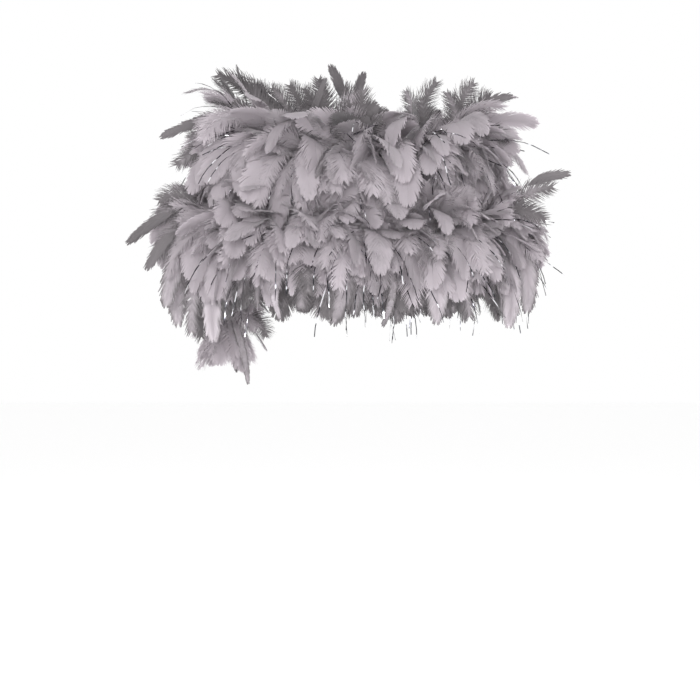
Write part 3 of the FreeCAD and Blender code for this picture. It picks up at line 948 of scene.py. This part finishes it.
# Feathers placed one by one, to match the photograph's outline: the kind, the distance along the cord at
# which it grows, where its tip is, and how far its middle arches off the straight line to it.
STRAY_FEATHERS = [
    ("plume", 0.200, (-0.165, 0.000, 0.086), (0.012, 0.0, 0.012)),
    ("plume", 0.190, (-0.148, 0.010, 0.082), (0.008, 0.0, 0.010)),
    ("plume", 0.176, (-0.122, 0.020, 0.078), (-0.004, 0.0, 0.006)),
    ("plume", 0.168, (-0.104, 0.025, 0.074), (0.000, 0.0, 0.006)),
    ("plume", 0.160, (-0.084, 0.030, 0.078), (0.004, 0.0, 0.004)),
    ("plume", 0.150, (-0.067, 0.030, 0.074), (0.004, 0.0, 0.004)),
    ("downy", 0.228, (-0.190, -0.010, 0.030), (-0.002, 0.0, 0.014)),
    ("plume", 0.232, (-0.196, -0.015, 0.012), (0.0, 0.0, 0.012)),
    ("leaf", 0.235, (-0.222, -0.020, 0.016), (0.004, 0.0, 0.020)),
    ("plume", 0.245, (-0.210, -0.030, -0.020), (0.0, 0.0, 0.014)),
    ("leaf", 0.140, (-0.034, 0.020, 0.094), (0.012, 0.0, 0.004)),
    ("plume", 0.132, (-0.050, 0.010, 0.082), (0.0, 0.0, 0.004)),
    ("plume", 0.115, (-0.020, 0.010, 0.074), (0.004, 0.0, 0.004)),
    ("leaf", 0.100, (0.000, 0.020, 0.086), (-0.008, 0.0, 0.0)),
    ("downy", 0.470, (0.050, -0.035, 0.062), (0.006, 0.0, 0.006)),
    ("plume", 0.490, (0.084, -0.025, 0.074), (-0.012, 0.0, 0.004)),
    ("downy", 0.535, (0.096, -0.040, 0.060), (0.010, 0.0, 0.004)),
    ("plume", 0.545, (0.126, -0.030, 0.072), (-0.004, 0.0, 0.008)),
    ("plume", 0.555, (0.146, -0.010, 0.060), (0.006, 0.0, 0.016)),
    ("leaf", 0.560, (0.164, -0.020, 0.058), (0.002, 0.0, 0.016)),
    ("plume", 0.535, (0.164, -0.040, 0.008), (0.0, 0.0, 0.014)),
    ("leaf", 0.922, (-0.259, -0.040, -0.104), (0.004, 0.0, 0.024)),
    ("plume", 0.915, (-0.236, -0.030, -0.084), (0.0, 0.0, 0.020)),
    ("plume", 0.905, (-0.230, -0.030, -0.060), (0.0, 0.0, 0.016)),
    ("leaf", 0.930, (-0.236, -0.080, -0.134), (-0.006, 0.0, 0.020)),
    ("plume", 0.930, (-0.230, -0.060, -0.126), (-0.004, 0.0, 0.018)),
    ("broad", 0.940, (-0.217, -0.080, -0.174), (-0.012, 0.0, 0.018)),
    ("broad", 0.925, (-0.207, -0.060, -0.194), (-0.018, 0.0, 0.016)),
    ("downy", 0.955, (-0.190, -0.080, -0.208), (-0.014, 0.0, 0.014)),
    ("broad", 0.965, (-0.166, -0.080, -0.212), (-0.012, 0.0, 0.012)),
    ("broad", 0.935, (-0.196, -0.040, -0.160), (-0.012, 0.0, 0.014)),
    ("downy", 0.950, (-0.178, -0.020, -0.172), (-0.008, 0.0, 0.012)),
    ("broad", 0.960, (-0.158, -0.060, -0.186), (-0.006, -0.006, 0.010)),
    ("plume", 0.945, (-0.182, -0.040, -0.214), (-0.014, 0.0, 0.012)),
    ("leaf", 1.290, (0.228, -0.020, -0.030), (-0.002, 0.0, 0.014)),
    ("plume", 1.280, (0.214, -0.040, -0.046), (0.0, 0.0, 0.010)),
    ("plume", 1.275, (0.204, -0.060, -0.084), (0.0, 0.0, 0.016)),
    ("plume", 1.285, (0.196, -0.040, -0.128), (0.006, 0.0, 0.018)),
    ("broad", 1.270, (0.185, -0.060, -0.180), (0.018, 0.0, 0.016)),
    ("broad", 1.255, (0.164, -0.070, -0.196), (0.016, 0.0, 0.012)),
    ("slim", 1.040, (-0.092, -0.130, -0.190), (-0.012, -0.02, 0.0)),
    ("broad", 1.090, (-0.030, -0.140, -0.196), (0.008, -0.02, 0.0)),
    ("slim", 1.135, (0.024, -0.140, -0.198), (0.010, -0.02, 0.0)),
    ("broad", 1.180, (0.080, -0.130, -0.194), (0.006, -0.02, 0.0)),
]
# How much painted shade darkens the stray feathers of each kind, which make the outline.
STRAY_PAINTED_SHADE = {"plume": 0.85, "leaf": 1.0, "downy": 0.5, "slim": 0.3, "broad": 0.15}
SEEN_FROM = np.array([0.0, -1.0, 0.25])


def stray_feather(rng, root, kind, tip, lift):
    """One of the feathers placed one by one. Its face is to the front."""
    points = arching(root, np.array(tip), np.array(lift))
    half_width = HALF_WIDTHS[kind][0]
    across = np.cross(SEEN_FROM, points[-1] - points[0])
    # Stray feathers stand at the outline: their tips get full painted shade.
    return feather(rng, points, across, kind, half_width, 1.0, STRAY_PAINTED_SHADE[kind])


def wound_tuft(node):
    """All the feathers that stand for one CAD tuft of the wound stretch."""
    stretch, number = node[:-3], int(node[-2:])
    rng = np.random.default_rng(WOUND_SEED + number)
    lengths, counts = STRETCHES[stretch]
    above, below = STRAYING[stretch]
    start = MARGIN + (number - 1) * TUFT_SPACING
    lean = rng.normal(0, TUFT_LEAN)
    rise = rng.normal(0, TUFT_TILT)
    longer = rng.normal(1, TUFT_LENGTH)
    parts = []
    for kind, count in counts.items():
        for place in range(count):
            distance = start + TUFT_SPACING * rng.uniform(0, 1)
            highest, lowest = fan_at(distance)
            row = (place + rng.uniform(0, 1)) / count
            tilt = highest + above + (lowest - below - highest - above) * row + rise
            length = lengths[int(row * (ROWS - 1) + 0.5)] * rng.uniform(*LENGTH_VARIES) * longer
            yaw = lean + rng.uniform(-MOST_YAW, MOST_YAW)
            if rng.uniform() < CROSSING_SHARE:
                yaw = rng.choice([-1.0, 1.0]) * rng.uniform(*CROSSING_YAW)
                length *= CROSSING_LENGTH
            painted_shade = STANDING_PAINTED_SHADE[stretch]
            parts += grown_feather(rng, distance, tilt, yaw, length, kind, painted_shade=painted_shade)
    hanging, tilts, hanging_lengths, sags = HANGING[stretch]
    for _ in range(hanging):
        kind = rng.choice(HANGING_KINDS, p=HANGING_SHARES)
        distance = start + TUFT_SPACING * rng.uniform(0, 1)
        yaw = rng.uniform(-HANGING_YAW, HANGING_YAW)
        length = rng.uniform(*hanging_lengths)
        parts += grown_feather(rng, distance, rng.uniform(*tilts), yaw, length, kind, sag=rng.uniform(*sags))
    for _ in range(DOWN_PLUMES):
        parts += down_plume(rng, start + TUFT_SPACING * rng.uniform(0, 1))
    for kind, distance, tip, lift in STRAY_FEATHERS:
        if start <= distance < start + TUFT_SPACING:
            parts += stray_feather(rng, on_core(distance)[0], kind, tip, lift)
    return parts


tuft_nodes = sorted(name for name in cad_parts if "_tuft_" in name and not name.startswith("tail"))
for node in tuft_nodes:
    finished(mesh_object(f"{node}_feathers", wound_tuft(node), feather_finish), "wrap", [node])

# ---- the feathers of the tail

# Each tail tuft: its body, the height of its lowest and its highest root, how far below level its
# feathers leave, in degrees, their length, and how many of each kind there are.
TAIL_TUFTS = {
    "tail_tuft_upper": ("tail_upper", (-0.171, -0.149), (0, 45), SHORT, {"broad": 8, "downy": 9}),
    "tail_tuft_lower": (
        "tail_lower", (-0.200, -0.177), (30, 72), SHORT, {"broad": 8, "downy": 7, "plume": 2},
    ),
}
TAIL_SEEDS = {"tail_tuft_upper": 8186, "tail_tuft_lower": 8215}
# How far round the cord a tail feather can be from its even place, how the lengths differ, and how they bend.
TAIL_TURN_VARIES = 0.8
TAIL_LENGTH_VARIES = (0.84, 1.02)
TAIL_SAG = (5, 12)
# The kind, the tip and the arch of the tail's feathers that were placed one by one.
TAIL_STRAYS = [
    ("slim", (-0.132, 0.000, -0.262), (0.004, -0.010, 0.0)),
    ("slim", (-0.146, 0.010, -0.250), (0.0, -0.008, 0.0)),
    ("plume", (-0.112, 0.010, -0.214), (0.010, -0.010, 0.0)),
]


def tail_tuft(node):
    """All the feathers that stand for one CAD tuft of the tail."""
    body, heights, dips, longest, counts = TAIL_TUFTS[node]
    rng = np.random.default_rng(TAIL_SEEDS[node])
    parts = []
    for kind, count in counts.items():
        for place in range(count):
            turn = 2 * math.pi * (place + rng.uniform(0, TAIL_TURN_VARIES)) / count
            dip = math.radians(rng.uniform(*dips))
            level = np.array([math.cos(turn), math.sin(turn), 0.0])
            heading = level * math.cos(dip) + DOWN * math.sin(dip)
            on_axis = np.array([ROUTE[-1][0], ROUTE[-1][1], rng.uniform(*heights)])
            root = on_axis + level * CORE_DIAMETER * ROOT_SHARE
            half_width = rng.uniform(*HALF_WIDTHS[kind])
            length = longest * rng.uniform(*TAIL_LENGTH_VARIES) * QUILL_SHARE
            points = sagging(root, heading, length, rng.uniform(*TAIL_SAG), 0 * UP)
            parts += feather(rng, points, np.cross(UP, level), kind, half_width)
    if body == "tail_lower":
        for kind, tip, lift in TAIL_STRAYS:
            parts += stray_feather(rng, on_core(core_at_height(heights[1]))[0], kind, tip, lift)
    return parts


for node, (body, *_) in TAIL_TUFTS.items():
    finished(mesh_object(f"{node}_feathers", tail_tuft(node), feather_finish), body, [node])

# ---- tinsel

TINSEL_WIDTH = 0.0011
TINSEL_KINKS = 12
TINSEL_BELOW_TOP = 12
TINSEL_SAG = (7, 24)
TINSEL_LENGTH = (0.072, 0.130)
TINSEL_YAW = 30
TINSEL_KINK, TINSEL_TWIST = 0.07, 0.55
STRANDS_IN_BUNDLE = 34
TINSEL_SEED = 9000
# The share of strands with a twin, and how the twin differs: in place, tilt, yaw and length.
TWIN_SHARE = 0.4
TWIN_ASIDE, TWIN_TILT, TWIN_YAW, TWIN_LENGTH = 0.001, 3, 2, 0.97
# The stretches of cord over which each bundle's strands are spread.
TINSEL_REACH = {
    "tinsel_01": (0.20, 0.40),
    "tinsel_02": (0.36, 0.56),
    "tinsel_03": (0.50, 0.75),
    "tinsel_04": (0.95, 1.15),
    "tinsel_05": (1.10, 1.28),
    "tinsel_06": (1.25, 1.45),
}


def tinsel_strand(rng, distance, tilt, yaw, length):
    """A strip of film that leaves the cord among the feathers, kinked and slightly twisted."""
    place, along, out, up = cord_frame(distance)
    leaving = leaving_way(out, up, tilt)
    heading = unit(leaving + along * math.tan(math.radians(yaw)))
    step = length / TINSEL_KINKS
    sag = rng.uniform(*TINSEL_SAG)
    points = [place + leaving * CORE_DIAMETER * ROOT_SHARE]
    for _ in range(TINSEL_KINKS):
        kink = rng.normal(0, TINSEL_KINK, 3)
        heading = unit(heading + step * sag * (DOWN - DOWN @ heading * heading) + kink)
        points.append(points[-1] + heading * step)
    points = np.array(points)
    _, sides, faces = carried_frames(points)
    turn = (rng.uniform(0, 2 * math.pi) + np.cumsum(rng.normal(0, TINSEL_TWIST, len(points))))[:, None]
    across = (sides * np.cos(turn) + faces * np.sin(turn)) * TINSEL_WIDTH / 2
    vertices = np.stack([points - across, points + across], axis=1).reshape(-1, 3)
    look = np.empty((len(points), 2, 4))
    look[..., 0] = rng.uniform(0, 1)
    look[..., 1] = np.linspace(0, length / LONG, len(points))[:, None]
    look[..., 2:] = 1.0
    return vertices, grid_quads(1, len(points), 2), look.reshape(-1, 4)


for number, (node, reach) in enumerate(TINSEL_REACH.items()):
    rng = np.random.default_rng(TINSEL_SEED + number)
    strands = []
    for _ in range(STRANDS_IN_BUNDLE):
        distance = rng.uniform(*reach)
        highest, lowest = fan_at(distance)
        tilt = rng.uniform(lowest, highest - TINSEL_BELOW_TOP)
        yaw = rng.uniform(-TINSEL_YAW, TINSEL_YAW)
        length = rng.uniform(*TINSEL_LENGTH)
        strands.append(tinsel_strand(rng, distance, tilt, yaw, length))
        if rng.uniform() < TWIN_SHARE:
            twin = (distance + TWIN_ASIDE, tilt + TWIN_TILT, yaw + TWIN_YAW, length * TWIN_LENGTH)
            strands.append(tinsel_strand(rng, *twin))
    finished(mesh_object(f"{node}_strands", strands, tinsel_finish), "wrap", [node])

# ---- floor and light

FLOOR_HEIGHT = -0.66
FLOOR_HALF_WIDTH = 14.0


def plain_material(name, colour):
    material, tree = new_material(name)
    surface = add_node(tree, "ShaderNodeBsdfPrincipled", Base_Color=(*colour, 1.0), Roughness=0.9)
    finish_material(tree, surface.outputs[0])
    return material


CENTRE = (0, 0, -0.08)
LIGHT_SIZE = 0.9
# Each light's place and its power in watts. All of them point at the boa's middle.
LIGHTS = {
    "front_left": ((-0.45, -2.3, 0.30), 32),
    "front_right": ((0.50, -2.4, 0.00), 26),
    "front_low": ((0.10, -2.3, -0.50), 14),
    "left": ((-2.2, 0.3, 0.6), 15),
    "right": ((2.2, 0.4, 0.6), 15),
    "back": ((0.3, 2.3, 0.6), 14),
}


def area_light(name, place, power):
    light = bpy.data.lights.new(name, "AREA")
    light.shape = "DISK"
    light.size = LIGHT_SIZE
    light.energy = power
    thing = bpy.data.objects.new(name, light)
    thing.location = place
    thing.rotation_euler = (Vector(CENTRE) - Vector(place)).to_track_quat("-Z", "Y").to_euler()
    bpy.context.scene.collection.objects.link(thing)


floor_mesh = bpy.data.meshes.new("floor")
floor_sides = ((-1, -1), (1, -1), (1, 1), (-1, 1))
floor_corners = [(right * FLOOR_HALF_WIDTH, back * FLOOR_HALF_WIDTH, 0) for right, back in floor_sides]
floor_mesh.from_pydata(floor_corners, [], [(0, 1, 2, 3)])
floor_mesh.materials.append(plain_material("floor", (0.98, 0.98, 0.98)))
floor = bpy.data.objects.new("floor", floor_mesh)
floor.location = (0, 0, FLOOR_HEIGHT)
bpy.context.scene.collection.objects.link(floor)

world = bpy.data.worlds.new("studio")
world.use_nodes = True
background = world.node_tree.nodes["Background"]
background.inputs["Color"].default_value = (1.0, 1.0, 1.0, 1.0)
background.inputs["Strength"].default_value = 1.0
bpy.context.scene.world = world
bpy.context.scene.view_settings.view_transform = "Standard"

for name, (place, power) in LIGHTS.items():
    area_light(name, place, power)
